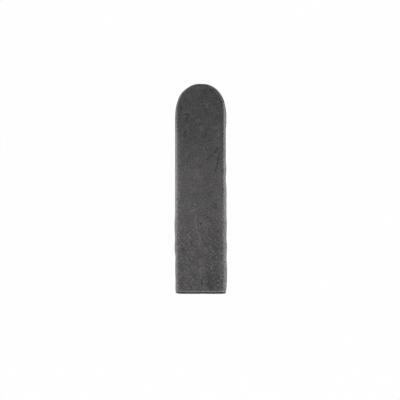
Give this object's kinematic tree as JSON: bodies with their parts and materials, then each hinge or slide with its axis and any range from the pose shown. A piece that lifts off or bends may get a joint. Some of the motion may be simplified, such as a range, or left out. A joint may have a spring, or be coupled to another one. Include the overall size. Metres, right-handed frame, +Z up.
{
  "type": "round end machine key",
  "caption": "Square-section steel machine key with a half-round nose and a square-cut tail; it lies in a shaft's keyseat and locks a hub to the shaft.",
  "frame": {"origin": "on the lower flat face, below the middle of the key's length and width", "axes": "+Y along the key towards the half-round nose, +X across the flanks, +Z up from the lower face to the upper face"},
  "size_m": [0.006, 0.024, 0.006],
  "materials": {
    "darkened_steel": "darkened, tumbled, satin, with edges rubbed lighter"
  },
  "bodies": {
    "root": {"key": "darkened_steel"}
  },
  "joints": []
}
